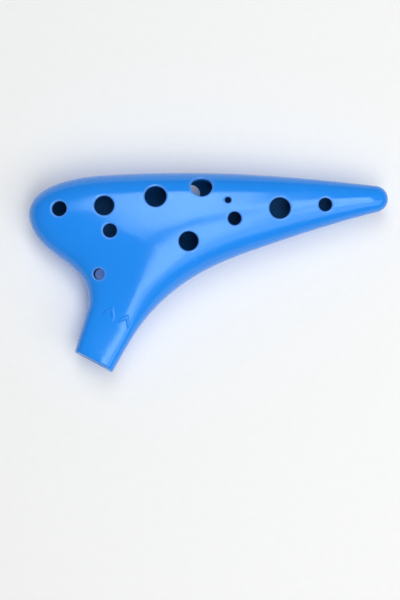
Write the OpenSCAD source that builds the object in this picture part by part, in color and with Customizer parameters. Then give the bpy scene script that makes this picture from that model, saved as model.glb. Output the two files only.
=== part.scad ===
// Twelve-hole transverse ocarina, moulded in plastic as two shells and a windway insert.
// The origin is on the axis of the strap hole, in the plane where the two shells meet.
// +X runs along the chamber to the tip of the tail, +Y away from the mouthpiece, and +Z
// out of the face with the finger holes.

/* [Chamber] */
// Height of the finger-hole side above the parting plane, before the edges round it off
front_rise = 12.4; // [12:0.2:13.4]
// Height of the thumb-hole side below the parting plane, before the edges round it off
back_rise = 15; // [14:0.2:16]
// Height of either side at the tip of the tail, before rounding
tail_rise = 5.4; // [5:0.1:6]
// Edge radius of the chamber
chamber_round = 10; // [9:0.2:11]
// Edge radius at the tip of the tail
tail_round = 5; // [4.6:0.1:5.6]
// Wall thickness of both shells
wall = 2; // [1.8:0.1:2.2]

/* [Mouthpiece] */
// Height of either side at the mouthpiece end, before rounding
mouth_rise = 5.2; // [5:0.1:5.6]
// Edge radius of the mouthpiece
mouth_round = 6.5; // [6:0.1:7]
// Slant of the mouthpiece end on the finger-hole side, in degrees
end_slant = 14; // [0:1:16]

/* [Windway] */
// Length of the windway from the mouthpiece end to the window
windway_len = 26; // [25.5:0.1:26.5]
// Width of the windway
windway_w = 9; // [8:0.1:9.2]
// Height of the windway at the mouthpiece end
windway_in_h = 1.6; // [1.4:0.1:1.8]
// Height of the windway where it meets the window
windway_out_h = 1.2; // [1:0.1:1.4]
// Length of the window between the windway and the labium edge
window_len = 4.2; // [3.8:0.1:4.6]
// Slope of the labium ramp in degrees
ramp_slope = 40; // [38:1:42]

/* [Strap hole] */
// Diameter of the hole for a neck cord
strap_d = 4; // [3:0.1:4.2]
// Wall around the strap hole
strap_wall = 1.6; // [1.2:0.1:1.7]

/* [Fit] */
// Clearance between pieces that are glued or welded together
fit_gap = 0.1; // [0.08:0.01:0.12]
// Height of the lip that locates the front shell in the back shell
lip_h = 1.2; // [0.8:0.1:1.3]

/* [Mark] */
// Height of the raised arrow mark
mark_h = 0.3; // [0.2:0.05:0.4]

/* [Hidden] */
blue = "#1e88f5";
dark_blue = "#1a72cf";

// Holes are [x, y, diameter]; each is drilled square to the surface.
FINGER_HOLES = [
    [-14.2, 23.5, 5.4],
    [2.0, 24.6, 7.1],
    [4.1, 15.5, 5.0],
    [20.4, 28.0, 7.8],
    [36.9, 31.7, 7.7],
    [32.3, 11.7, 7.0],
    [46.4, 26.6, 2.2],
    [48.8, 19.9, 4.8],
    [65.1, 23.7, 7.6],
    [81.5, 25.0, 4.8],
];
THUMB_HOLES = [
    [32.2, 30.4, 8.4],
    [41.8, 13.0, 8.0],
];

// The outline is made of [x, y, heading] nodes joined by smooth curves.
WEST = [-25.7, 21.9];
EAST = [104.6, 27.3];
LEFT_BEND = [-6.3, -1.5];
RIGHT_BEND = [32.7, -1.9];
MOUTH_LEFT = [-9.2, -28.4];
MOUTH_RIGHT = [4.4, -35.8];
TOP_LEFT = [[WEST.x, WEST.y, 90], [-14.5, 33.1, 18.5], [2.6, 36.0, 3.5]];
TOP_MID = [[2.6, 36.0, 3.5], [35.6, 36.8, -0.5]];
TOP_RIGHT = [[35.6, 36.8, -0.5], [100.2, 32.1, -6.5], [EAST.x, EAST.y, -90]];
LEFT_FLANK = [[WEST.x, WEST.y, -90], [-18.9, 9.4, -41], [LEFT_BEND.x, LEFT_BEND.y, -55]];
LEFT_CHEEK = [
    [LEFT_BEND.x, LEFT_BEND.y, -55],
    [-4.0, -9.9, -90],
    [-5.1, -14.9, -106],
    [MOUTH_LEFT.x, MOUTH_LEFT.y, -107.5],
];
RIGHT_CHEEK = [
    [RIGHT_BEND.x, RIGHT_BEND.y, 213],
    [14.6, -18.8, 234],
    [MOUTH_RIGHT.x, MOUTH_RIGHT.y, 240.5],
];
RIGHT_FLANK = [
    [RIGHT_BEND.x, RIGHT_BEND.y, 33],
    [54.6, 8.3, 19.5],
    [100.8, 22.6, 14],
    [EAST.x, EAST.y, 90],
];

// Where the tail starts to thin, along x, and how gently.
tail_from = 30;
thinning_power = 1.3;
// Distances from the mouthpiece end between which each side swells to its full height,
// and the edges to their full radius.
front_swell = [8, 48];
back_swell = [16, 50];
round_swell = [8, 40];

// Steps of the surface grid: left end, middle, tail, mouthpiece, and across.
LEFT_N = 11;
MID_N = 16;
TAIL_N = 29;
MOUTH_N = 11;
ACROSS_N = 18;
// The columns crowd towards the tip of the tail by this power.
TIP_CROWDING = 1.5;
COLUMNS = LEFT_N + MID_N + TAIL_N;
// Longest step for slopes.
TINY = 0.02;
// Facets of the round holes.
BORE_N = 48;

mouth_mid = (MOUTH_LEFT + MOUTH_RIGHT) / 2;
mouth_across = (MOUTH_RIGHT - MOUTH_LEFT) / norm(MOUTH_RIGHT - MOUTH_LEFT);
mouth_inward = [-mouth_across.y, mouth_across.x];
mouth_heading = atan2(mouth_inward.y, mouth_inward.x);

// ---- plane curves ----

function mix(a, b, t) = a + (b - a) * t;
function ramp(a, b, v) = max(0, min(1, (v - a) / (b - a)));
function swell(range, v) = let (t = ramp(range[0], range[1], v)) t * t * (3 - 2 * t);
function heading(a) = [cos(a), sin(a)];
function flat(lists) = [for (list = lists) each list];
function tail(list) = [for (i = [1 : 1 : len(list) - 1]) list[i]];
function reversed(list) = [for (i = [len(list) - 1 : -1 : 0]) list[i]];

function bezier(p, q, r, s, t) =
    pow(1 - t, 3) * p + 3 * t * pow(1 - t, 2) * q + 3 * t * t * (1 - t) * r + pow(t, 3) * s;

// Length of a control arm that keeps a span close to a circular arc.
function arm(from, to) =
    let (turn = abs((to[2] - from[2] + 540) % 360 - 180))
    let (chord = norm([to.x - from.x, to.y - from.y]))
    turn < 1 ? chord / 3 : chord * 2 / 3 * tan(turn / 4) / sin(turn / 2);

function span(from, to, steps) =
    let (p = [from.x, from.y], s = [to.x, to.y], reach = arm(from, to))
    let (q = p + reach * heading(from[2]), r = s - reach * heading(to[2]))
    [for (i = [0 : steps - 1]) bezier(p, q, r, s, i / steps)];

function curve(nodes, steps = 12) =
    let (last = nodes[len(nodes) - 1])
    concat(
        flat([for (i = [0 : len(nodes) - 2]) span(nodes[i], nodes[i + 1], steps)]),
        [[last.x, last.y]]
    );

function lengths(path) =
    [for (i = 0, sum = 0; i < len(path);
          sum = sum + (i < len(path) - 1 ? norm(path[i + 1] - path[i]) : 0), i = i + 1) sum];

// The path cut into n steps, crowding towards its end by a power.
function cut(path, n, crowding = 1) =
    let (at = lengths(path), total = at[len(at) - 1])
    let (xs = [for (i = [0 : len(path) - 1]) [at[i], path[i].x]])
    let (ys = [for (i = [0 : len(path) - 1]) [at[i], path[i].y]])
    [for (i = [0 : n])
        let (d = total * (1 - pow(1 - i / n, crowding)))
        [lookup(d, xs), lookup(d, ys)]];

left_flank = cut(curve(LEFT_FLANK), LEFT_N);
left_cheek = cut(curve(LEFT_CHEEK), MOUTH_N);
right_cheek = cut(curve(RIGHT_CHEEK), MOUTH_N);
right_flank = cut(curve(RIGHT_FLANK), TAIL_N, TIP_CROWDING);
top_edge = concat(
    cut(curve(TOP_LEFT), LEFT_N),
    tail(cut(curve(TOP_MID), MID_N)),
    tail(cut(curve(TOP_RIGHT), TAIL_N, TIP_CROWDING))
);

// Anticlockwise outline, open across the mouthpiece end.
west_side = concat(left_flank, tail(left_cheek));
north_side = [for (i = [COLUMNS - 1 : -1 : 1]) top_edge[i]];
east_side = concat(reversed(right_cheek), tail(right_flank), north_side);
outline = concat(west_side, east_side);

// The same outline with the mouthpiece carried on, so that its end is a clean cut.
overrun = 15;
ring = concat(
    west_side,
    [MOUTH_LEFT + overrun * heading(LEFT_CHEEK[3][2])],
    [MOUTH_RIGHT + overrun * heading(RIGHT_CHEEK[2][2])],
    east_side
);

// ---- surface ----

// One side's share in the smooth distance: the integral of 1 / distance squared along it.
function pull(p, a, b) =
    let (va = a - p, vb = b - p, la = norm(va), lb = norm(vb))
    let (angle = atan2(abs(va.x * vb.y - va.y * vb.x), va * vb))
    norm(b - a) / (la * lb) * (angle < 0.01 ? 1 : angle * PI / 180 / sin(angle));

// Smooth distance from the outline: exact beside a straight edge, softer in corners.
function depth(p) =
    let (n = len(ring), pulls = [for (i = [0 : n - 1]) pull(p, ring[i], ring[(i + 1) % n])])
    PI / (pulls * [for (x = pulls) 1]);

function inward(p) = (p - mouth_mid) * mouth_inward;
function thinning(p) = pow(ramp(tail_from, EAST.x, p.x), thinning_power);

// A side is [rise, swell range, slope of its mouthpiece end].
FRONT = [front_rise, front_swell, tan(end_slant)];
BACK = [back_rise, back_swell, 0];

// Square of a side's height at p, at smooth distance d.
function height2(side, p, d) =
    let (body = mix(side[0], tail_rise, thinning(p)))
    let (cap = mix(mouth_rise, body, swell(side[1], inward(p))))
    let (body_round = mix(chamber_round, tail_round, thinning(p)))
    let (edge = mix(mouth_round, body_round, swell(round_swell, inward(p))))
    1 / sqrt(1 / pow(2 * edge * d, 2) + 1 / pow(cap, 4));

// A grid point off the rim is [p, depth, step, depth one step in x, depth one step in y];
// a grid point on the rim is [p, outward direction].
function probe(p) =
    let (d = depth(p), step = min(TINY, d / 4))
    [p, d, step, depth(p + [step, 0]), depth(p + [0, step])];

function normal(side, g) =
    let (a = height2(side, g[0], g[1]), step = g[2])
    let (ax = height2(side, g[0] + [step, 0], g[3]), ay = height2(side, g[0] + [0, step], g[4]))
    let (n = [(a - ax) / step, (a - ay) / step, 2 * sqrt(a)])
    n / norm(n);

function skin(side, g, inset) =
    len(g) == 2
        ? let (q = g[0] - inset * g[1]) [q.x, q.y, 0]
        : [g[0].x, g[0].y, sqrt(height2(side, g[0], g[1]))] - inset * normal(side, g);

// Slides a point of the mouthpiece end along the mouthpiece, onto the end plane.
function on_end(v, at = 0) =
    let (slide = inward([v.x, v.y]) - at)
    v - slide * [mouth_inward.x, mouth_inward.y, 0];

// ---- surface grid ----

function rim_point(i) =
    let (n = len(ring), along = ring[(i + 1) % n] - ring[(i + n - 1) % n])
    [ring[i], [along.y, -along.x] / norm(along)];

rim = [for (i = [0 : len(ring) - 1]) rim_point(i)];
LEFT_BEND_I = LEFT_N;
MOUTH_LEFT_I = LEFT_N + MOUTH_N;
MOUTH_RIGHT_I = MOUTH_LEFT_I + 3;
RIGHT_BEND_I = MOUTH_RIGHT_I + MOUTH_N;
EAST_I = RIGHT_BEND_I + TAIL_N;

// Grid points between two others, crowding towards both.
function row_between(from, to, n) =
    concat(
        [from],
        [for (i = [1 : n - 1]) probe(mix(from[0], to[0], (1 - cos(180 * i / n)) / 2))],
        [to]
    );

// Grid row across the mouth of the mouthpiece, where it joins the chamber.
function throat() = row_between(rim[LEFT_BEND_I], rim[RIGHT_BEND_I], MID_N);

function column(k, throat_row) =
    let (top = rim[(EAST_I + COLUMNS - k) % len(ring)])
    let (on_throat = k > LEFT_N && k < LEFT_N + MID_N)
    let (foot = k <= LEFT_N ? rim[k]
              : on_throat ? throat_row[k - LEFT_N]
              : rim[RIGHT_BEND_I + k - LEFT_N - MID_N])
    k == 0 || k == COLUMNS
        ? [for (i = [0 : ACROSS_N]) top]
        : row_between(top, foot, ACROSS_N);

function chamber_grid(throat_row) = [for (k = [0 : COLUMNS]) column(k, throat_row)];

function mouth_grid(throat_row) = [
    for (j = [0 : MOUTH_N])
        j == 0 ? throat_row
            : row_between(rim[LEFT_BEND_I + j], rim[RIGHT_BEND_I - j], MID_N)
];

// ---- solids from grids ----

function triangle(a, b, c) = a == b || b == c || c == a ? [] : [[a, b, c]];
function quad(a, b, c, d) = concat(triangle(a, b, c), triangle(a, c, d));

// Skin over a grid of points, facing up; flip turns it over.
function sheet(points, flip = false) =
    flat([for (i = [0 : len(points) - 2], j = [0 : len(points[0]) - 2])
        let (a = points[i][j], b = points[i + 1][j], c = points[i + 1][j + 1], d = points[i][j + 1])
        flip ? quad(a, d, c, b) : quad(a, b, c, d)]);

// Band between two lines of points.
function band(upper, lower) =
    flat([for (i = [0 : len(upper) - 2]) quad(upper[i], upper[i + 1], lower[i + 1], lower[i])]);

module solid(triangles) {
    polyhedron(
        points = flat(triangles),
        faces = [for (i = [0 : len(triangles) - 1]) [3 * i, 3 * i + 1, 3 * i + 2]],
        convexity = 10
    );
}

// The chamber and mouthpiece grids of one side, set in from the outside.
function side_points(side, grids, inset) =
    [for (g = grids) [for (row = g) [for (point = row) skin(side, point, inset)]]];

function cut_end(side, points) =
    let (last = len(points) - 1)
    [for (j = [0 : last]) j < last ? points[j] : [for (v = points[j]) on_end(v, side[2] * v.z)]];

// The points with nothing lower than a ledge.
function above(points, ledge) =
    [for (row = points) [for (v = row) [v.x, v.y, max(v.z, ledge)]]];

// The same for a mouthpiece grid, whose last row is the open end and keeps its height.
function above_but_end(points, ledge) =
    concat(above([for (j = [0 : len(points) - 2]) points[j]], ledge), [points[len(points) - 1]]);

// Rim points in order, from one side of the mouthpiece end round to the other.
rim_path = concat([for (i = [MOUTH_RIGHT_I : len(ring) - 1]) i], [for (i = [0 : MOUTH_LEFT_I]) i]);

function rim_at(i, inset, lift) =
    let (q = rim[i][0] - inset * rim[i][1])
    [q.x, q.y, lift];

// The outline at the parting plane, set in and lifted. Where the outline meets the
// mouthpiece end it keeps to the end plane, and to the parting plane.
function rim_line(inset, lift, end_inset) =
    [for (i = rim_path)
        i == MOUTH_RIGHT_I || i == MOUTH_LEFT_I
            ? on_end(rim_at(i, end_inset, 0))
            : rim_at(i, inset, lift)];

// Half a shell with the parting plane at its foot. The foot is [inset, lift] steps from
// the outside to the inside, and the inside starts at the ledge.
module half_shell(side, foot, ledge) {
    throat_row = throat();
    grids = [chamber_grid(throat_row), mouth_grid(throat_row)];
    outer = side_points(side, grids, 0);
    inner = side_points(side, grids, wall);
    outer_mouth = cut_end(side, outer[1]);
    inner_mouth = above_but_end(cut_end(side, inner[1]), ledge);
    foot_lines = concat(
        [rim_line(0, 0, 0)],
        [for (step = foot) rim_line(step[0], step[1], wall)],
        [rim_line(wall, ledge, wall)]
    );
    solid(concat(
        sheet(outer[0]),
        sheet(outer_mouth, flip = true),
        sheet(above(inner[0], ledge), flip = true),
        sheet(inner_mouth),
        flat([for (i = [0 : len(foot_lines) - 2]) band(foot_lines[i], foot_lines[i + 1])]),
        band(outer_mouth[MOUTH_N], inner_mouth[MOUTH_N])
    ));
}

// Puts its children at a point of a side's surface, with +Z straight out of it.
module on_surface(side, at) {
    g = probe(at);
    n = normal(side, g);
    translate(skin(side, g, 0))
        rotate([0, acos(n.z), atan2(n.y, n.x)])
            rotate([0, 0, -atan2(n.y, n.x)])
                children();
}

// Puts its children in the mouthpiece's own axes: +X inward along it, from its end.
module in_mouthpiece() {
    translate([mouth_mid.x, mouth_mid.y, 0])
        rotate([0, 0, mouth_heading])
            children();
}

// A prism across the mouthpiece, from its side view.
module across(width, side_view) {
    rotate([90, 0, 0])
        linear_extrude(width, center = true)
            polygon(side_view);
}

module bores(side, holes) {
    for (hole = holes)
        on_surface(side, [hole[0], hole[1]])
            translate([0, 0, -2 * wall])
                cylinder(h = 4 * wall, d = hole[2], $fn = BORE_N);
}

// The tube around the strap hole, trimmed half a wall under the outside.
module strap_tube(side) {
    difference() {
        cylinder(h = far, d = strap_d + 2 * strap_wall, $fn = BORE_N);
        on_surface(side, [0, 0])
            translate([-far, -far, -wall / 2])
                cube([2 * far, 2 * far, far]);
    }
}

module strap_bore() {
    translate([0, 0, -far])
        cylinder(h = 2 * far, d = strap_d, $fn = BORE_N);
}

// ---- windway, in side view with the back of the ocarina up ----

// Depths of the windway floor below the parting plane, at the mouthpiece end and the window.
floor_in = 1.9;
floor_out = 4.9;
floor_slope = (floor_out - floor_in) / windway_len;
labium_at = windway_len + window_len;
labium_z = floor_out + floor_slope * window_len - windway_out_h / 2;
floor_w = windway_w + 2;
// Overshoot of cuts past a face, and a length that reaches out of the part.
over = 1;
far = 20;

function floor_at(s) = floor_in + floor_slope * s;

// Thickens the wall under the windway, so that its floor is flat.
module windway_floor() {
    // These keep the wedge's outer edge inside the shell's wall.
    under_wall_in = 1.8;
    under_wall_mid = 1.3;
    lap = 0.5;
    across(floor_w, [
        [0, floor_at(0)],
        [windway_len, floor_at(windway_len)],
        [windway_len, floor_out + lap],
        [windway_len / 2, mouth_rise - under_wall_mid],
        [0, mouth_rise - under_wall_in],
    ]);
}

// Everything from the windway floor outwards.
module beyond_floor(gap) {
    across(floor_w + 2 * gap, [
        [-over, floor_at(-over) - gap],
        [windway_len + over, floor_at(windway_len + over) - gap],
        [windway_len + over, far],
        [-over, far],
    ]);
}

module windway_channel() {
    across(windway_w, [
        [-over, floor_at(-over)],
        [windway_len + over, floor_at(windway_len + over)],
        [windway_len + over, floor_at(windway_len + over) - windway_out_h],
        [-over, floor_at(-over) - windway_in_h],
    ]);
}

// The wedge that splits the air, between the ramp outside and a face inside.
module labium_wedge() {
    wedge_w = windway_w + 4;
    // [distance from the labium edge, height over it], along the inside and back outside.
    wedge = [[0, 0], [4, 0.7], [10, 4.6], [10, 5.4], [4, 3.4], [0, 2.1]];
    across(wedge_w, [for (v = wedge) [labium_at + v.x, labium_z + v.y]]);
}

// The window and the ramp up to the labium edge.
module window_cut() {
    across(windway_w, [
        [windway_len, 0],
        [labium_at, 0],
        [labium_at, labium_z],
        [labium_at + far, labium_z + far * tan(ramp_slope)],
        [labium_at + far, labium_z + 2 * far],
        [windway_len, labium_z + 2 * far],
    ]);
}

// ---- windway block ----

// The block is this wide at most, and stays clear of the outline of the mouthpiece.
block_half_w = 8;
block_clear = 0.3;
// Steps of the block's grid.
BLOCK_ALONG_N = 8;
BLOCK_ACROSS_N = 8;

// Where a cheek of the mouthpiece is, across the mouthpiece, at a distance from its end.
function cheek_at(cheek, s) =
    lookup(s, [for (p = cheek) [inward(p), (p - mouth_mid) * mouth_across]]);

function block_row(s) =
    let (from = max(-block_half_w, cheek_at(left_cheek, s) + block_clear))
    let (to = min(block_half_w, cheek_at(right_cheek, s) - block_clear))
    [for (i = [0 : BLOCK_ACROSS_N])
        let (q = mix(from, to, (1 - cos(180 * i / BLOCK_ACROSS_N)) / 2))
        probe(mouth_mid + s * mouth_inward + q * mouth_across)];

block_grid = [for (j = [0 : BLOCK_ALONG_N]) windway_len * j / BLOCK_ALONG_N];

function block_skin(side, rows) =
    [for (j = [0 : BLOCK_ALONG_N])
        [for (g = rows[j])
            let (v = skin(side, g, wall + fit_gap))
            j == 0 ? on_end(v, side[2] * v.z)
                : j == BLOCK_ALONG_N ? on_end(v, windway_len) : v]];

module block_body() {
    rows = [for (s = block_grid) block_row(s)];
    top = block_skin(FRONT, rows);
    under = [for (row = block_skin(BACK, rows)) [for (v = row) [v.x, v.y, -v.z]]];
    left_top = [for (row = top) row[0]];
    left_under = [for (row = under) row[0]];
    right_top = [for (row = top) row[BLOCK_ACROSS_N]];
    right_under = [for (row = under) row[BLOCK_ACROSS_N]];
    solid(concat(
        sheet(top),
        sheet(under, flip = true),
        band(reversed(left_top), reversed(left_under)),
        band(right_top, right_under),
        band(top[0], under[0]),
        band(reversed(top[BLOCK_ALONG_N]), reversed(under[BLOCK_ALONG_N]))
    ));
}

// Two pockets from the inner end keep the block's walls even.
module block_pockets() {
    pocket_w = 4.2;
    rib = 1.4;
    pocket_from = 10;
    for (side = [-1, 1])
        translate([0, side * (pocket_w + rib) / 2, 0])
            across(pocket_w, [
                [pocket_from, -0.5],
                [windway_len + over, -2.4],
                [windway_len + over, 3.8],
                [pocket_from, 1.5],
            ]);
}

// ---- pieces ----

module arrow(length, width, stroke) {
    polygon([
        [0, width / 2], [length - stroke, 0], [0, -width / 2],
        [stroke, -width / 2], [length, 0], [stroke, width / 2],
    ]);
}

// Two small raised arrowheads that point along the air's path.
module arrow_mark() {
    mark_at = 19.3;
    spread = 3.1;
    arrow_l = 3.4;
    arrow_w = 3.8;
    stroke = 0.9;
    sunk = 0.6;
    for (sideways = [-spread, spread])
        on_surface(FRONT, mouth_mid + mark_at * mouth_inward + sideways * mouth_across)
            rotate([0, 0, mouth_heading])
                translate([-arrow_l / 2, 0, -sunk])
                    linear_extrude(sunk + mark_h)
                        arrow(arrow_l, arrow_w, stroke);
}

// The finger-hole side, with a lip along the inside of its edge.
module front_shell() {
    lip_out = wall / 2 + fit_gap / 2;
    lip_in = wall - fit_gap / 2;
    color(blue)
        difference() {
            union() {
                half_shell(FRONT, [[lip_out, 0], [lip_out, -lip_h], [lip_in, -lip_h]], 0);
                strap_tube(FRONT);
                arrow_mark();
            }
            bores(FRONT, FINGER_HOLES);
            strap_bore();
        }
}

// The thumb-hole side, with a ledge that takes the lip. Built outside up, then turned over.
module back_shell() {
    ledge = lip_h + fit_gap;
    color(blue)
        mirror([0, 0, 1])
            difference() {
                union() {
                    half_shell(BACK, [[wall / 2, 0], [wall / 2, ledge]], ledge);
                    strap_tube(BACK);
                    in_mouthpiece() {
                        windway_floor();
                        labium_wedge();
                    }
                }
                in_mouthpiece() {
                    windway_channel();
                    window_cut();
                }
                bores(BACK, THUMB_HOLES);
                strap_bore();
            }
}

// Fills the mouthpiece between the shells; the windway runs along its back face.
module windway_block() {
    color(dark_blue)
        difference() {
            block_body();
            in_mouthpiece() {
                mirror([0, 0, 1]) {
                    beyond_floor(fit_gap);
                    windway_channel();
                }
                block_pockets();
            }
        }
}

front_shell();
back_shell();
windway_block();
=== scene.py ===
"""A twelve-hole plastic ocarina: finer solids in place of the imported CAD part's three pieces.

Each piece is a solid described by a signed distance, in millimetres and positive inside
the plastic, in the CAD part's own frame. The solids are meshed, drawn exactly onto their
surface and given true surface normals, so that the gloss shows the form and not the mesh.
"""

import math

import bpy
import numpy as np
import openvdb
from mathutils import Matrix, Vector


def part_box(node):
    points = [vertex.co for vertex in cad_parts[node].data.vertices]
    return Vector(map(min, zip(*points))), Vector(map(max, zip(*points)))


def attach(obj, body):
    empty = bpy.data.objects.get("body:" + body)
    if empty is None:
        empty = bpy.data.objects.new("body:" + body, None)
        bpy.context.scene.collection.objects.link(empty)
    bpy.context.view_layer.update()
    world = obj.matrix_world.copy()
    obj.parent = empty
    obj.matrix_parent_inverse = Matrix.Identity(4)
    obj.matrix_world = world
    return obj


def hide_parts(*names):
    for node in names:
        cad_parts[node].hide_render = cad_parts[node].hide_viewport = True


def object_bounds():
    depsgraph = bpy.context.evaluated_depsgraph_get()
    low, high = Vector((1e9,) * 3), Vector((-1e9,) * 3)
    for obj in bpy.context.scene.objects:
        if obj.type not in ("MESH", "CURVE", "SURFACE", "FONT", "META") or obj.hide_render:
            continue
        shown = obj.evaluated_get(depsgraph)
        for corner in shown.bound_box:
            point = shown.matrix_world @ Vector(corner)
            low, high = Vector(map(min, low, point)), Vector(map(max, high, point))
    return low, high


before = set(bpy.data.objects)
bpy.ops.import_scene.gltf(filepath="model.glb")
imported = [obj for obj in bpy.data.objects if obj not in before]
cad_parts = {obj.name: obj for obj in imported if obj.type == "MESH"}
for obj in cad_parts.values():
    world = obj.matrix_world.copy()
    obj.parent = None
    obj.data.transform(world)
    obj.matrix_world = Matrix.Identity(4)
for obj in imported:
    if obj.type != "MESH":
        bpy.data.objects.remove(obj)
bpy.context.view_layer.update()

MM = 0.001

# ---- sizes, in millimetres ----

WALL = 2.0
# Heights over the parting plane that each stretch would reach if it were much wider.
FRONT_RISE, BACK_RISE, TAIL_RISE, MOUTH_RISE = 12.4, 15.0, 5.4, 5.2
CHAMBER_ROUND, TAIL_ROUND, MOUTH_ROUND = 10.0, 5.0, 6.5  # radii beside the outline
TAIL_FROM = 30.0  # x where the body starts to thin towards the tail's tip
THINNING_POWER = 1.3
# Distances from the mouthpiece end between which it swells into the chamber.
FRONT_SWELL, BACK_SWELL, ROUND_SWELL = (8, 48), (16, 50), (8, 40)

WINDWAY_LEN, WINDWAY_W = 26.0, 9.0
WINDWAY_IN_H, WINDWAY_OUT_H = 1.6, 1.2
CUT_OVERRUN = 1.0  # of the windway's cut past the floor's inner end
FLOOR_IN, FLOOR_OUT = 1.9, 4.9  # of the windway's floor, behind the parting plane
FLOOR_SPARE_W = 1.0  # of the floor on each side of the windway
FLOOR_SET_BACK = 0.2  # of the floor's end face from the mouthpiece end
WINDOW_LEN = 4.2
RAMP_SLOPE = math.tan(math.radians(40))
LABIUM_LEN, LABIUM_SPARE_W = 11.0, 2.0
LABIUM_SLOPES, LABIUM_KNEE = (0.175, 0.65), 4.0  # of its inner face, before and after a knee
LABIUM_LEAN = 0.9  # turns a height over the inner face into about a distance from it
ROOT_DEPTH = 0.8  # of the floor's and the labium's roots under the shell's outside
LABIUM_AT = WINDWAY_LEN + WINDOW_LEN
FLOOR_SLOPE = (FLOOR_OUT - FLOOR_IN) / WINDWAY_LEN
LABIUM_Z = FLOOR_OUT + FLOOR_SLOPE * WINDOW_LEN - WINDWAY_OUT_H / 2

STRAP_R, STRAP_TUBE_R = 2.0, 3.6
LIP_H, FIT_GAP = 1.2, 0.1
LIP_SET_BACK = 1.0  # of the lip and its ledge from the mouthpiece end
BLOCK_HALF_W = 8.0
BLOCK_SET_BACK = 0.3  # of the insert's end face from the mouthpiece end
# The insert's two pockets widen from the first z to the second as they run inwards.
POCKET_FROM, POCKET_HALF_W, POCKET_OFFSET = 10.0, 2.1, 2.8
POCKET_BACK, POCKET_FRONT = (-0.5, -2.4), (1.5, 3.8)

END_SLANT = math.tan(math.radians(14))  # of the mouthpiece end, on the front side
SEAM_GAP = 0.02  # from each shell to the parting plane
SEAM_R = 0.22  # rounding of the shells' edges where they meet
HOLE_EDGE_R = 0.6  # rounding of the edges of the holes
MOUTH_EDGE_R = 0.6  # rounding of the mouthpiece end's outer edge
END_INNER_R = 0.5  # rounding between the mouthpiece end and the space inside it
CUT_EDGE_R = 0.3  # rounding of the window, the insert and its pockets
WINDWAY_EDGE_R = 0.15  # rounding of the windway's roof in the insert

# The two raised arrowheads.
MARK_H, MARK_SOFT = 0.3, 0.25
MARK_AT, MARK_SPREAD = 19.3, 3.1
MARK_LEN, MARK_HALF_W, MARK_STROKE = 3.4, 1.9, 0.9

# Holes are x, y and diameter, drilled square to the surface.
FINGER_HOLES = [
    (-14.2, 23.5, 5.4),
    (2.0, 24.6, 7.1),
    (4.1, 15.5, 5.0),
    (20.4, 28.0, 7.8),
    (36.9, 31.7, 7.7),
    (32.3, 11.7, 7.0),
    (46.4, 26.6, 2.2),
    (48.8, 19.9, 4.8),
    (65.1, 23.7, 7.6),
    (81.5, 25.0, 4.8),
]
THUMB_HOLES = [(32.2, 30.4, 8.4), (41.8, 13.0, 8.0)]

# Outline nodes are x, y and heading in degrees, joined by smooth curves.
WEST, EAST = (-25.7, 21.9), (104.6, 27.3)
LEFT_BEND, RIGHT_BEND = (-6.3, -1.5), (32.7, -1.9)
MOUTH_LEFT, MOUTH_RIGHT = (-9.2, -28.4), (4.4, -35.8)
TOP_EDGE = [(*EAST, 90), (100.2, 32.1, 173.5), (35.6, 36.8, 179.5), (2.6, 36.0, 183.5),
            (-14.5, 33.1, 198.5), (*WEST, 270)]
LEFT_EDGE = [(*WEST, 270), (-18.9, 9.4, 319), (*LEFT_BEND, 305), (-4.0, -9.9, 270),
             (-5.1, -14.9, 254), (*MOUTH_LEFT, 252.5)]
RIGHT_EDGE = [(*MOUTH_RIGHT, 60.5), (14.6, -18.8, 54), (*RIGHT_BEND, 33), (54.6, 8.3, 19.5),
              (100.8, 22.6, 14), (*EAST, 90)]
OVERRUN = 15.0  # the outline carries on past the mouthpiece end, which is then cut off

CURVE_STEP = 0.6  # spacing of the outline's points
MAP_STEP, MAP_MARGIN = 0.4, 3.0  # spacing of the surface maps, and their reach past the part
VOXEL = 0.32
BLOCK_VOXEL = 0.25
BAND = 3  # voxels on each side of the surface that hold its distance
SLOPE_STEP = 0.02  # over which a distance's slope is measured
RELAXING = (0.5, 0.5, 0.3)  # how far towards its neighbours' middle each pass moves a point
SETTLING = 4  # passes after those that only draw the points onto the surface
TINY, LEAST_SLOPE2 = 1e-9, 1e-6  # keep divisions finite

# The middle of the mouthpiece end, the direction across it and the direction in from it.
mouth_mid = (np.array(MOUTH_LEFT) + MOUTH_RIGHT) / 2
mouth_across = np.subtract(MOUTH_RIGHT, MOUTH_LEFT)
mouth_across /= np.linalg.norm(mouth_across)
mouth_inward = np.array([-mouth_across[1], mouth_across[0]])


# ---- outline and the smooth distance from it ----

def heading(degrees):
    """The direction, as a unit vector."""
    return np.array([math.cos(math.radians(degrees)), math.sin(math.radians(degrees))])


def span(a, b):
    """Points of a cubic from node a up to node b, close to a circular arc."""
    p, s = np.array(a[:2], float), np.array(b[:2], float)
    turn = math.radians(abs((b[2] - a[2] + 540) % 360 - 180))
    chord = np.linalg.norm(s - p)
    nearly_straight = turn < 0.02
    reach = chord / 3 if nearly_straight else chord * 2 / 3 * math.tan(turn / 4) / math.sin(turn / 2)
    q, r = p + reach * heading(a[2]), s - reach * heading(b[2])
    t = np.linspace(0, 1, max(4, int(chord / CURVE_STEP)), endpoint=False)[:, None]
    return (1 - t) ** 3 * p + 3 * t * (1 - t) ** 2 * q + 3 * t * t * (1 - t) * r + t**3 * s


def curve(nodes):
    return np.concatenate([span(a, b) for a, b in zip(nodes, nodes[1:])])


def make_ring():
    """The whole outline, closed beyond the mouthpiece end."""
    left_end = np.array(MOUTH_LEFT) + OVERRUN * heading(LEFT_EDGE[-1][2])
    right_end = np.array(MOUTH_RIGHT) - OVERRUN * heading(RIGHT_EDGE[0][2])
    return np.concatenate([curve(LEFT_EDGE), [MOUTH_LEFT], [left_end], [right_end],
                           curve(RIGHT_EDGE), curve(TOP_EDGE)])


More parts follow.
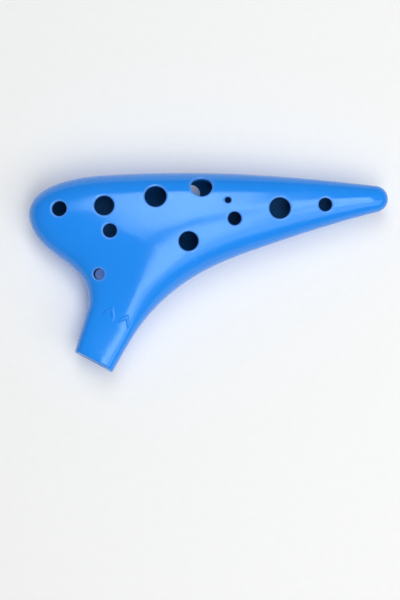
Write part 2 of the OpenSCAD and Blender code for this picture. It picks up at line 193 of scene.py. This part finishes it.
def depth(x, y, ring):
    """Smooth distance in from the outline: exact beside a straight edge, softer in corners."""
    pull = np.zeros(np.broadcast(x, y).shape)
    winding = np.zeros_like(pull)
    for a, b in zip(ring, np.roll(ring, -1, axis=0)):
        ax, ay, bx, by = a[0] - x, a[1] - y, b[0] - x, b[1] - y
        cross, dot = ax * by - ay * bx, ax * bx + ay * by
        angle = np.arctan2(cross, dot)
        winding += angle
        length = math.dist(a, b)
        in_line = np.abs(cross) < TINY
        pull_in_line = length / np.maximum(np.abs(dot), TINY)
        pull_aside = length * angle / np.where(in_line, 1.0, cross)
        pull += np.where(in_line, pull_in_line, pull_aside)
    return np.pi / pull * np.where(winding > np.pi, 1.0, -1.0)


def swell(limits, v):
    """0 below the limits and 1 above them, with a smooth rise between."""
    t = np.clip((v - limits[0]) / (limits[1] - limits[0]), 0, 1)
    return t * t * (3 - 2 * t)


def mix(a, b, t):
    return a + (b - a) * t


def inward(x, y):
    """Distance in from the mouthpiece end, along the mouthpiece."""
    return (x - mouth_mid[0]) * mouth_inward[0] + (y - mouth_mid[1]) * mouth_inward[1]


def sideways(x, y):
    """Distance from the mouthpiece's middle line, positive to the right."""
    return (x - mouth_mid[0]) * mouth_across[0] + (y - mouth_mid[1]) * mouth_across[1]


def height2(x, y, d, rise, rise_swell, inset):
    """Square of the surface's height over the parting plane, negative outside the outline.

    d is the depth in from the outline, and inset how far under the outside the surface lies.
    """
    thin = np.clip((x - TAIL_FROM) / (EAST[0] - TAIL_FROM), 0, 1) ** THINNING_POWER
    s = inward(x, y)
    cap = mix(MOUTH_RISE, mix(rise, TAIL_RISE, thin), swell(rise_swell, s)) - inset
    radius = mix(MOUTH_ROUND, mix(CHAMBER_ROUND, TAIL_ROUND, thin), swell(ROUND_SWELL, s)) - inset
    round_part = 2 * radius * (d - inset)
    return round_part / np.sqrt(1 + (round_part / cap**2) ** 2)


class Map:
    """A smooth function of x and y, sampled on a grid and read back with its slopes."""

    def __init__(self, x0, y0, values):
        self.x0, self.y0 = x0, y0
        self.values = values

    def read(self, x, y):
        v = self.values
        u, w = (x - self.x0) / MAP_STEP, (y - self.y0) / MAP_STEP
        i = np.clip(np.floor(u).astype(int), 1, v.shape[0] - 3)
        j = np.clip(np.floor(w).astype(int), 1, v.shape[1] - 3)
        wu, du = cubic_weights(u - i)
        ww, dw = cubic_weights(w - j)
        value, slope_x, slope_y = 0.0, 0.0, 0.0
        for a in range(4):
            for b in range(4):
                sample = v[i + a - 1, j + b - 1]
                value = value + wu[a] * ww[b] * sample
                slope_x = slope_x + du[a] * ww[b] * sample
                slope_y = slope_y + wu[a] * dw[b] * sample
        return value, slope_x / MAP_STEP, slope_y / MAP_STEP


def cubic_weights(t):
    """Catmull-Rom weights of four neighbours, and their slopes."""
    weights = (-0.5 * t + t**2 - 0.5 * t**3, 1 - 2.5 * t**2 + 1.5 * t**3,
               0.5 * t + 2 * t**2 - 1.5 * t**3, -0.5 * t**2 + 0.5 * t**3)
    slopes = (-0.5 + 2 * t - 1.5 * t**2, -5 * t + 4.5 * t**2,
              0.5 + 4 * t - 4.5 * t**2, -t + 1.5 * t**2)
    return weights, slopes


def make_maps():
    """Maps of the depth, and of the squared height of each side's outside and inside."""
    low, high = np.array(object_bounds()) / MM
    xs = np.arange(low[0] - MAP_MARGIN, high[0] + MAP_MARGIN, MAP_STEP)
    ys = np.arange(low[1] - MAP_MARGIN, high[1] + MAP_MARGIN, MAP_STEP)
    x, y = np.meshgrid(xs, ys, indexing="ij")
    d = depth(x, y, make_ring())
    grids = {"depth": d}
    for side, rise, rise_swell in (("front", FRONT_RISE, FRONT_SWELL), ("back", BACK_RISE, BACK_SWELL)):
        grids[side] = height2(x, y, d, rise, rise_swell, 0.0)
        grids[side + "_in"] = height2(x, y, d, rise, rise_swell, WALL)
    return {name: Map(xs[0], ys[0], values) for name, values in grids.items()}


maps = make_maps()


def read_maps(x, y):
    return {name: m.read(x, y) for name, m in maps.items()}


# ---- distances, positive inside the plastic; m holds what the maps give at x and y ----

def under(sample, z):
    """Distance under the surface whose squared height a map gives."""
    value, slope_x, slope_y = sample
    return (value - z * z) / np.sqrt(slope_x**2 + slope_y**2 + 4 * z * z + LEAST_SLOPE2)


def both(a, b, r):
    """Where two solids overlap, with the shared edge rounded to radius r."""
    round_part = r - np.hypot(np.maximum(r - a, 0), np.maximum(r - b, 0))
    return np.where((a < r) & (b < r), round_part, np.minimum(a, b))


def least(*distances):
    """Where all the solids overlap, with sharp edges."""
    result = distances[0]
    for d in distances[1:]:
        result = np.minimum(result, d)
    return result


def surface_point(side, x, y):
    """A point of a side's outer surface and the direction straight out of it, with the side up."""
    value, slope_x, slope_y = maps[side].read(np.array([x]), np.array([y]))
    z = math.sqrt(value[0])
    n = np.array([-slope_x[0], -slope_y[0], 2 * z])
    return np.array([x, y, z]), n / np.linalg.norm(n)


def off_bore(side, hole, x, y, z):
    """Distance from the wall of a bore, positive outside it."""
    p, n = surface_point(side, hole[0], hole[1])
    dx, dy, dz = x - p[0], y - p[1], z - p[2]
    along = dx * n[0] + dy * n[1] + dz * n[2]
    radial = np.sqrt(np.maximum(dx * dx + dy * dy + dz * dz - along * along, 0))
    reach = 4 * WALL  # each way along the bore
    return np.maximum(radial - hole[2] / 2, np.abs(along) - reach)


def shell(side, m, x, y, z, relief=0.0, slant=0.0):
    """A half shell with half of the strap tube, and the solid that its outside bounds.

    z is up on the side's outside, relief raises its surface and slant leans its mouthpiece end.
    """
    end = (inward(x, y) - slant * np.maximum(z, 0)) / math.hypot(1, slant)
    outer = both(under(m[side], z) + relief, end, MOUTH_EDGE_R)
    body = both(outer, -under(m[side + "_in"], z), END_INNER_R)
    tube = least(STRAP_TUBE_R - np.hypot(x, y), outer - WALL / 2, z)
    return both(np.maximum(body, tube), z - SEAM_GAP, SEAM_R), outer


def drill(side, body, holes, x, y, z):
    """The body with a side's tone holes and the strap hole through it."""
    for hole in holes:
        body = both(body, off_bore(side, hole, x, y, z), HOLE_EDGE_R)
    return both(body, np.hypot(x, y) - STRAP_R, HOLE_EDGE_R)


def arrow_relief(x, y):
    """Height of the two raised arrowheads that point along the air's path."""
    lean = (MARK_LEN - MARK_STROKE) / MARK_HALF_W
    u = inward(x, y) - (MARK_AT - MARK_LEN / 2)
    height = 0.0
    for offset in (-MARK_SPREAD, MARK_SPREAD):
        q = np.abs(sideways(x, y) - offset)
        stroke_middle = (MARK_LEN - MARK_STROKE / 2) - lean * q
        in_stroke = MARK_STROKE / 2 - np.abs(u - stroke_middle) / math.hypot(1, lean)
        height = height + MARK_H * swell((-MARK_SOFT, MARK_SOFT), np.minimum(in_stroke, MARK_HALF_W - q))
    return height


def front_shell(m, x, y, z):
    body, _ = shell("front", m, x, y, z, arrow_relief(x, y), END_SLANT)
    d = m["depth"][0]
    lip = least(d - WALL / 2 - FIT_GAP / 2, WALL - FIT_GAP / 2 - d, z + LIP_H, LIP_H / 2 - z)
    body = np.maximum(body, np.minimum(lip, inward(x, y) - LIP_SET_BACK))
    return drill("front", body, FINGER_HOLES, x, y, z)


def windway_floor(s):
    """Depth of the windway's floor behind the parting plane, s from the mouthpiece end."""
    return FLOOR_IN + FLOOR_SLOPE * s


def windway_roof(s):
    """Depth of its roof, which is the insert's back face."""
    return windway_floor(s) - mix(WINDWAY_IN_H, WINDWAY_OUT_H, np.clip(s / WINDWAY_LEN, 0, 1))


def back_shell(m, x, y, z):
    """Built with its outside up, as the CAD part is."""
    up = -z
    body, outer = shell("back", m, x, y, up)
    s, q = inward(x, y), np.abs(sideways(x, y))
    ledge = least(m["depth"][0] - WALL / 2, LIP_H + FIT_GAP - up, s - LIP_SET_BACK)
    body = np.minimum(body, -ledge)

    rooted = outer - ROOT_DEPTH
    in_windway = WINDWAY_W / 2 - q
    floor = least(in_windway + FLOOR_SPARE_W, up - windway_floor(s), rooted,
                  WINDWAY_LEN - s, s - FLOOR_SET_BACK)
    t = s - LABIUM_AT
    shallow, steep = LABIUM_SLOPES
    inner_face = LABIUM_Z + np.maximum(shallow * t, shallow * LABIUM_KNEE + steep * (t - LABIUM_KNEE))
    labium = least(in_windway + LABIUM_SPARE_W, t, (up - inner_face) * LABIUM_LEAN, rooted, LABIUM_LEN - t)
    body = np.maximum(body, np.maximum(floor, labium))

    channel = least(in_windway, up - windway_roof(s), windway_floor(s) - up, WINDWAY_LEN + CUT_OVERRUN - s)
    body = np.minimum(body, -channel)
    ramp = (up - LABIUM_Z - t * RAMP_SLOPE) / math.hypot(1, RAMP_SLOPE)
    window = least(in_windway, s - WINDWAY_LEN, np.maximum(-t, ramp))
    body = both(body, -window, CUT_EDGE_R)
    return drill("back", body, THUMB_HOLES, x, y, up)


def windway_block(m, x, y, z):
    """The insert: the mouthpiece's inside, cut back to the windway's roof, with two pockets."""
    up = -z
    s, q = inward(x, y), np.abs(sideways(x, y))
    cavity = np.where(z > 0, under(m["front_in"], z), under(m["back_in"], z)) - FIT_GAP
    end = (s - END_SLANT * np.maximum(z, 0)) / math.hypot(1, END_SLANT) - BLOCK_SET_BACK
    sides = least(WINDWAY_LEN - s, BLOCK_HALF_W - q)
    body = both(both(cavity, end, END_INNER_R), sides, CUT_EDGE_R)
    over_floor = least(WINDWAY_W / 2 + FLOOR_SPARE_W + FIT_GAP - q, up - windway_floor(s) + FIT_GAP)
    channel = least(WINDWAY_W / 2 - q, up - windway_roof(s))
    body = both(body, -np.maximum(over_floor, channel), WINDWAY_EDGE_R)
    t = (s - POCKET_FROM) / (WINDWAY_LEN - POCKET_FROM)
    pocket = least(POCKET_HALF_W - np.abs(q - POCKET_OFFSET), s - POCKET_FROM,
                   z - mix(*POCKET_BACK, t), mix(*POCKET_FRONT, t) - z)
    return both(body, -pocket, CUT_EDGE_R)


# ---- meshing ----

def mesh_solid(solid, low, high, voxel):
    """Vertices and quads of the solid's surface, drawn onto it, with its true normals."""
    band = BAND * voxel
    axes = [np.arange(a - band, b + band + voxel, voxel) for a, b in zip(low, high)]
    x, y, z = np.meshgrid(*axes, indexing="ij", sparse=True)
    flat = read_maps(x[:, :, 0], y[:, :, 0])
    m = {name: tuple(v[:, :, None] for v in sample) for name, sample in flat.items()}
    grid = openvdb.FloatGrid(band)
    grid.copyFromArray(np.clip(-solid(m, x, y, z), -band, band).astype(np.float32))
    points, quads = grid.convertToQuads(isovalue=0.0)
    points = points.astype(float) * voxel + np.array([a[0] for a in axes])
    links = neighbour_links(quads)
    for relax in RELAXING:
        points = draw_on(solid, points, voxel)
        points = points + relax * sideways_step(points, links, slope(solid, points)[1])
    for _ in range(SETTLING):
        points = draw_on(solid, points, voxel)
    return points, quads, slope(solid, points)[1]


def value_at(solid, p):
    """The solid's distance at each row of p."""
    return solid(read_maps(p[:, 0], p[:, 1]), p[:, 0], p[:, 1], p[:, 2])


def slope(solid, p):
    """Slope of the distance at p, and the direction straight out of the solid."""
    g = np.empty_like(p)
    for axis in range(3):
        shift = np.zeros(3)
        shift[axis] = SLOPE_STEP
        g[:, axis] = (value_at(solid, p + shift) - value_at(solid, p - shift)) / (2 * SLOPE_STEP)
    length = np.maximum(np.linalg.norm(g, axis=1, keepdims=True), TINY)
    return g, -g / length


def draw_on(solid, p, voxel):
    """p moved along the slope to where the distance is nought, by half a voxel at most."""
    g, _ = slope(solid, p)
    least_size2 = 0.05
    size2 = np.maximum((g * g).sum(1), least_size2)
    step = -(value_at(solid, p) / size2)[:, None] * g
    length = np.maximum(np.linalg.norm(step, axis=1, keepdims=True), TINY)
    return p + step * np.minimum(1, 0.5 * voxel / length)


def neighbour_links(quads):
    """Each pair of points that share an edge, once."""
    edges = np.concatenate([quads[:, [i, (i + 1) % 4]] for i in range(4)])
    return np.unique(np.sort(edges.astype(np.int64), axis=1), axis=0)


def sideways_step(p, links, normals):
    """From each point towards the middle of its neighbours, along the surface."""
    total, count = np.zeros_like(p), np.zeros(len(p))
    for a, b in ((0, 1), (1, 0)):
        np.add.at(total, links[:, a], p[links[:, b]])
        np.add.at(count, links[:, a], 1)
    step = total / count[:, None] - p
    return step - (step * normals).sum(1)[:, None] * normals


# How deep under the outside, and how far in from the mouthpiece end, a surface starts to
# count as inside, which is painted darker as shade, and fully does; and how far from holes and the seam
# the rubbing, with its painted highlight on the hole rims, fades.
COVER_FADE, END_FADE = (0.5, 1.3), (0.1, 0.6)
HOLE_WEAR_AND_HIGHLIGHT, SEAM_WEAR = (0.1, 1.0), (0.05, 0.4)
RAMP_SIDE, RAMP_END, RAMP_OFF = 0.5, 0.3, 0.4  # how far round the ramp still counts as ramp


def inside_share(points):
    """0 on the surfaces that face outwards and on the window's ramp, 1 on those inside, which the material
    makes matt and paints darker as shade.
    """
    x, y, z = points.T
    m = read_maps(x, y)
    s, q = inward(x, y), np.abs(sideways(x, y))
    cover = np.where(z > 0, under(m["front"], z), under(m["back"], z))
    from_end = s - END_SLANT * np.maximum(z, 0)
    off_ramp = np.abs(-z - LABIUM_Z - (s - LABIUM_AT) * RAMP_SLOPE)
    on_ramp = least(WINDWAY_W / 2 + RAMP_SIDE - q, s - LABIUM_AT + RAMP_END, RAMP_OFF - off_ramp) > 0
    return np.where(on_ramp, 0, swell(COVER_FADE, cover) * swell(END_FADE, from_end))


def edge_share(points, side, holes):
    """1 at the rounded edges of the holes, and half that at the seam; the paler colour this brings is
    wear, and on the hole rims also a painted highlight.
    """
    x, y, z = points.T
    up = z if side == "front" else -z
    bores = [np.abs(off_bore(side, hole, x, y, up)) for hole in holes]
    nearest = least(*bores, np.abs(np.hypot(x, y) - STRAP_R))
    return np.maximum(1 - swell(HOLE_WEAR_AND_HIGHLIGHT, nearest), 0.5 * (1 - swell(SEAM_WEAR, up)))


def add_share(mesh, name, share):
    """Keeps a share for each point, for the material to read."""
    attribute = mesh.attributes.new(name, "FLOAT", "POINT")
    attribute.data.foreach_set("value", share)


def make_piece(name, solid, node, voxel, material, side=None, holes=()):
    """A solid's mesh in place of a CAD node; a side's shell also gets worn edges, paler on the hole rims
    as a painted highlight.
    """
    low, high = (np.array(corner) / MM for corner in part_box(node))
    points, quads, normals = mesh_solid(solid, low, high, voxel)
    mesh = bpy.data.meshes.new(name)
    mesh.vertices.add(len(points))
    mesh.vertices.foreach_set("co", (points * MM).ravel())
    mesh.loops.add(quads.size)
    mesh.loops.foreach_set("vertex_index", quads.ravel())
    mesh.polygons.add(len(quads))
    mesh.polygons.foreach_set("loop_start", np.arange(0, quads.size, 4))
    mesh.update(calc_edges=True)
    mesh.validate()
    mesh.normals_split_custom_set_from_vertices(normals)
    inside = inside_share(points)
    add_share(mesh, "inside", inside)
    if side:
        add_share(mesh, "edge", edge_share(points, side, holes) * (1 - inside))
    piece = bpy.data.objects.new(name, mesh)
    bpy.context.scene.collection.objects.link(piece)
    mesh.materials.append(material)
    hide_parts(node)
    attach(piece, "root")


# ---- materials ----

def new_material(name):
    material = bpy.data.materials.new(name)
    material.use_nodes = True
    return material, material.node_tree.nodes, material.node_tree.links


def add_noise(nodes, links, source, scale, detail, distortion):
    """Soft noise between 0 and 1, with scale features to each of the source's units."""
    noise = nodes.new("ShaderNodeTexNoise")
    noise.inputs["Scale"].default_value = scale
    noise.inputs["Detail"].default_value = detail
    noise.inputs["Distortion"].default_value = distortion
    links.new(source, noise.inputs["Vector"])
    return noise.outputs["Fac"]


def read_share(nodes, name):
    """A share that add_share kept on the mesh."""
    node = nodes.new("ShaderNodeAttribute")
    node.attribute_name = name
    return node.outputs["Fac"]


def add_range(nodes, links, value, from_range, to_range):
    """The value carried smoothly from one range to the other, and held at its ends."""
    node = nodes.new("ShaderNodeMapRange")
    node.interpolation_type = "SMOOTHSTEP"
    node.inputs["From Min"].default_value, node.inputs["From Max"].default_value = from_range
    node.inputs["To Min"].default_value, node.inputs["To Max"].default_value = to_range
    links.new(value, node.inputs["Value"])
    return node.outputs["Result"]


def add_math(nodes, links, operation, a, b):
    """a and b combined; each is a number or a socket."""
    node = nodes.new("ShaderNodeMath")
    node.operation = operation
    for socket, value in zip(node.inputs, (a, b)):
        if isinstance(value, (int, float)):
            socket.default_value = value
        else:
            links.new(value, socket)
    return node.outputs["Value"]


def add_mix(nodes, links, share, a, b):
    """Colours a and b mixed; each is an RGB tuple or a socket."""
    node = nodes.new("ShaderNodeMix")
    node.data_type = "RGBA"
    links.new(share, node.inputs["Factor"])
    colour_a, colour_b, mixed = node.inputs[6], node.inputs[7], node.outputs[2]  # the RGBA sockets
    for socket, value in ((colour_a, a), (colour_b, b)):
        if isinstance(value, tuple):
            socket.default_value = (*value, 1)
        else:
            links.new(value, socket)
    return mixed


# Hairlines are the peaks of a noise that is stretched along them and into the plastic.
HAIR_STRETCH, HAIR_DEEPEN = 30, 3
HAIR_NOISE, HAIR_PEAKS = (1.0, 1.0, 0.0), (0.71, 0.76)


def hairlines(nodes, links, source, turn, scale):
    """Sparse fine scratches along one direction, 1 on a scratch."""
    stretch = nodes.new("ShaderNodeMapping")
    stretch.vector_type = "TEXTURE"
    stretch.inputs["Rotation"].default_value = (0.3 * turn, 0.2, turn)
    stretch.inputs["Scale"].default_value = (1 / scale, HAIR_STRETCH / scale, HAIR_DEEPEN / scale)
    links.new(source, stretch.inputs["Vector"])
    lines = add_noise(nodes, links, stretch.outputs["Vector"], *HAIR_NOISE)
    return add_range(nodes, links, lines, HAIR_PEAKS, (0.0, 1.0))


def add_bump(nodes, links, height, depth_mm, below=None):
    """A surface raised by up to depth_mm, on top of the bump below it."""
    bump = nodes.new("ShaderNodeBump")
    bump.inputs["Distance"].default_value = depth_mm * MM
    links.new(height, bump.inputs["Height"])
    if below is not None:
        links.new(below, bump.inputs["Normal"])
    return bump.outputs["Normal"]


# Each noise's scale, in features to a metre, with its detail and distortion.
DRIFT, HANDLING, GRIME = (28.0, 2.0, 0.0), (45.0, 4.0, 0.6), (420.0, 5.0, 0.0)
PEEL, GRAIN = (520.0, 1.0, 0.0), (5200.0, 2.0, 0.0)
HANDLING_PEAKS, GRIME_PEAKS = (0.35, 0.7), (0.5, 0.75)  # where each starts to show and fully does
SCUFF_SETS = ((0.7, 2600.0), (-1.1, 3100.0))  # turn and scale of each set of hairlines
PEEL_DEPTH, GRAIN_DEPTH, SCUFF_DEPTH = 0.008, 0.002, 0.006  # of the bumps, in millimetres
# The colour's factors at the pigment's two ends and inside, where the darker colour is painted shade, and
# how far rubbing greys it, which on the hole rims is also a painted highlight.
DEEP, PALE, INSIDE_PAINTED_SHADE = 0.93, 1.05, 0.35
PALE_LIFT = 0.004
WEAR_AND_HIGHLIGHT_GREY, WEAR_AND_HIGHLIGHT_SHARE = 0.9, 0.16
# What each share adds to the roughness, and how much of the paler worn colour it shows, which at the edges
# is also a painted highlight.
GRIME_ROUGH, SCUFF_ROUGH, EDGE_ROUGH, INSIDE_ROUGH, HANDLING_ROUGH = 0.03, 0.12, 0.08, 0.4, 0.06
EDGE_WEAR_AND_HIGHLIGHT, SCUFF_RUB = 0.6, 0.10
SPECULAR_OUT, SPECULAR_IN = 0.5, 0.15


def plastic(name, colour, least_rough):
    """Moulded plastic: pigment drift, orange peel, scuffs, worn edges with a painted highlight on the hole
    rims, and a matt inside darkened with painted shade.
    """
    material, nodes, links = new_material(name)
    shader = nodes["Principled BSDF"]
    at = nodes.new("ShaderNodeTexCoord").outputs["Object"]
    inside, edge = (read_share(nodes, share) for share in ("inside", "edge"))
    scuff_sets = (hairlines(nodes, links, at, turn, scale) for turn, scale in SCUFF_SETS)
    scuffs = add_math(nodes, links, "MAXIMUM", *scuff_sets)
    handling, grime = (
        add_range(nodes, links, add_noise(nodes, links, at, *noise), peaks, (0.0, 1.0))
        for noise, peaks in ((HANDLING, HANDLING_PEAKS), (GRIME, GRIME_PEAKS)))

    drift = add_noise(nodes, links, at, *DRIFT)
    deep = tuple(c * DEEP for c in colour)
    pale = tuple(min(1.0, c * PALE + PALE_LIFT) for c in colour)
    body = add_mix(nodes, links, drift, deep, pale)
    # The inside surfaces are painted darker: painted shade, since the hollows get little light.
    body = add_mix(nodes, links, inside, body, tuple(c * INSIDE_PAINTED_SHADE for c in colour))
    wear_and_highlight_colour = tuple(mix(c, WEAR_AND_HIGHLIGHT_GREY, WEAR_AND_HIGHLIGHT_SHARE) for c in colour)
    # Hole rims and the seam are greyed paler: wear, and on the hole rims also a painted highlight.
    body = add_mix(nodes, links, add_math(nodes, links, "MULTIPLY", edge, EDGE_WEAR_AND_HIGHLIGHT), body, wear_and_highlight_colour)
    body = add_mix(nodes, links, add_math(nodes, links, "MULTIPLY", scuffs, SCUFF_RUB), body, wear_and_highlight_colour)
    links.new(body, shader.inputs["Base Color"])

    rough = add_range(nodes, links, handling, (0.0, 1.0), (least_rough, least_rough + HANDLING_ROUGH))
    for share, extra in ((grime, GRIME_ROUGH), (scuffs, SCUFF_ROUGH),
                         (edge, EDGE_ROUGH), (inside, INSIDE_ROUGH)):
        rough = add_math(nodes, links, "ADD", rough, add_math(nodes, links, "MULTIPLY", share, extra))
    links.new(rough, shader.inputs["Roughness"])

    peel = add_bump(nodes, links, add_noise(nodes, links, at, *PEEL), PEEL_DEPTH)
    grain = add_bump(nodes, links, add_noise(nodes, links, at, *GRAIN), GRAIN_DEPTH, peel)
    unscuffed = add_math(nodes, links, "SUBTRACT", 1.0, scuffs)
    scratched = add_bump(nodes, links, unscuffed, SCUFF_DEPTH, grain)
    links.new(scratched, shader.inputs["Normal"])
    shader.inputs["IOR"].default_value = 1.52
    shader.inputs["Specular Tint"].default_value = (0.76, 1.0, 1.0, 1)
    specular = add_range(nodes, links, inside, (0.0, 1.0), (SPECULAR_OUT, SPECULAR_IN))
    links.new(specular, shader.inputs["Specular IOR Level"])
    return material


BLUE = (0.010, 0.262, 0.90)
SHELL_ROUGH, INSERT_ROUGH = 0.12, 0.3
shell_plastic = plastic("shell_plastic", BLUE, SHELL_ROUGH)
insert_plastic = plastic("insert_plastic", BLUE, INSERT_ROUGH)

make_piece("front_shell_fine", front_shell, "front_shell", VOXEL,
           shell_plastic, "front", FINGER_HOLES)
make_piece("back_shell_fine", back_shell, "back_shell", VOXEL,
           shell_plastic, "back", THUMB_HOLES)
make_piece("windway_block_fine", windway_block, "windway_block", BLOCK_VOXEL,
           insert_plastic)


# ---- studio, in metres where no unit is named ----

FLOOR_SIZE = 6.0
PAPER_DARK, PAPER_PALE = (0.92, 0.89, 0.86), (0.95, 0.92, 0.89)
MOTTLE = (300.0, 4.0, 0.0)  # the paper's noise
CAMERA_X, CAMERA_Y, CAMERA_Z = 0.03635, -0.00934, 0.7
VIEW_H = 0.2179  # height of the view at the parting plane
SENSOR_MM = 36.0
WORLD_STRENGTH = 0.2
DAYLIGHT = (0.95, 1.0, 1.03)
LIGHT_Z = 0.9
# A window north of the object, in panes, and the smaller parts of a second one round its
# south-east side: the edges of each along x and y, and its radiance.
STUDIO_LIGHTS = [
    ("window_west", (-0.055, 0.10), (0.058, 0.76), 5.0),
    ("window_east", (0.10, 0.235), (0.078, 0.62), 5.0),
    ("window_pane", (-0.155, -0.07), (0.2, 0.7), 3.6),
    ("window_far_pane", (-0.26, -0.17), (0.15, 0.5), 1.5),
    ("side_east", (0.24, 0.45), (0.015, 0.2), 4.8),
    ("side_tail", (0.32, 0.50), (-0.2, 0.015), 4.4),
    ("side_fade", (0.29, 0.55), (-0.75, -0.2), 2.0),
    ("side_fade_south", (-0.06, 0.29), (-1.0, -0.55), 2.0),
    ("fill", (0.55, 1.35), (-1.0, -0.1), 1.7),
]
# The main part of the second window is made of strips, because its west edge leans.
SIDE_STRIPS = 8
SIDE_Y, SIDE_WEST, SIDE_EAST = (-0.55, 0.015), (-0.09, 0.07), 0.29
SIDE_RADIANCE = 4.7
UNDER_LIGHT = ("under_fill", (-0.6, 0.7), (-0.6, 0.6), 0.9)  # shows the underside to a viewer below


def make_floor():
    """A pale paper sweep, clear from below and to the light that comes from below."""
    low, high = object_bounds()
    mid = (np.array(low) + high) / 2
    bpy.ops.mesh.primitive_plane_add(size=FLOOR_SIZE, location=(mid[0], mid[1], low[2]))
    floor = bpy.context.object
    floor.name = "floor"
    material, nodes, links = new_material("floor_paper")
    shader = nodes["Principled BSDF"]
    at = nodes.new("ShaderNodeTexCoord").outputs["Object"]
    mottle = add_noise(nodes, links, at, *MOTTLE)
    shade = add_mix(nodes, links, mottle, PAPER_DARK, PAPER_PALE)
    links.new(shade, shader.inputs["Base Color"])
    shader.inputs["Roughness"].default_value = 0.8
    hide = nodes.new("ShaderNodeMixShader")
    from_below = nodes.new("ShaderNodeNewGeometry").outputs["Backfacing"]
    to_light = nodes.new("ShaderNodeLightPath").outputs["Is Shadow Ray"]
    links.new(add_math(nodes, links, "MAXIMUM", from_below, to_light), hide.inputs["Fac"])
    links.new(shader.outputs["BSDF"], hide.inputs[1])
    links.new(nodes.new("ShaderNodeBsdfTransparent").outputs["BSDF"], hide.inputs[2])
    links.new(hide.outputs["Shader"], nodes["Material Output"].inputs["Surface"])
    floor.data.materials.append(material)


def make_camera():
    """Straight over the object, with a mild perspective."""
    data = bpy.data.cameras.new("camera")
    data.sensor_width = SENSOR_MM
    data.lens = SENSOR_MM * CAMERA_Z / VIEW_H
    camera = bpy.data.objects.new("camera", data)
    camera.location = (CAMERA_X, CAMERA_Y, CAMERA_Z)
    bpy.context.scene.collection.objects.link(camera)
    bpy.context.scene.camera = camera


def make_world():
    world = bpy.data.worlds.new("studio")
    world.use_nodes = True
    world.node_tree.nodes["Background"].inputs["Color"].default_value = (1, 1, 1, 1)
    world.node_tree.nodes["Background"].inputs["Strength"].default_value = WORLD_STRENGTH
    bpy.context.scene.world = world
    bpy.context.scene.view_settings.view_transform = "Standard"


def flat_light(name, x_range, y_range, radiance, z=LIGHT_Z):
    """A level light at height z, given by its edges, that faces the object's plane."""
    width, length = x_range[1] - x_range[0], y_range[1] - y_range[0]
    data = bpy.data.lights.new(name, "AREA")
    data.shape = "RECTANGLE"
    data.size, data.size_y = width, length
    data.energy = radiance * math.pi * width * length
    data.color = DAYLIGHT
    light = bpy.data.objects.new(name, data)
    light.location = (sum(x_range) / 2, sum(y_range) / 2, z)
    light.rotation_euler = (0, 0 if z > 0 else math.pi, 0)
    bpy.context.scene.collection.objects.link(light)


def make_lights():
    for light in STUDIO_LIGHTS:
        flat_light(*light)
    for i in range(SIDE_STRIPS):
        y_range = [mix(*SIDE_Y, end / SIDE_STRIPS) for end in (i, i + 1)]
        west = mix(*SIDE_WEST, (i + 0.5) / SIDE_STRIPS)
        flat_light(f"side_strip_{i + 1}", (west, SIDE_EAST), y_range, SIDE_RADIANCE)
    flat_light(*UNDER_LIGHT, z=-LIGHT_Z)


make_floor()
make_camera()
make_world()
make_lights()
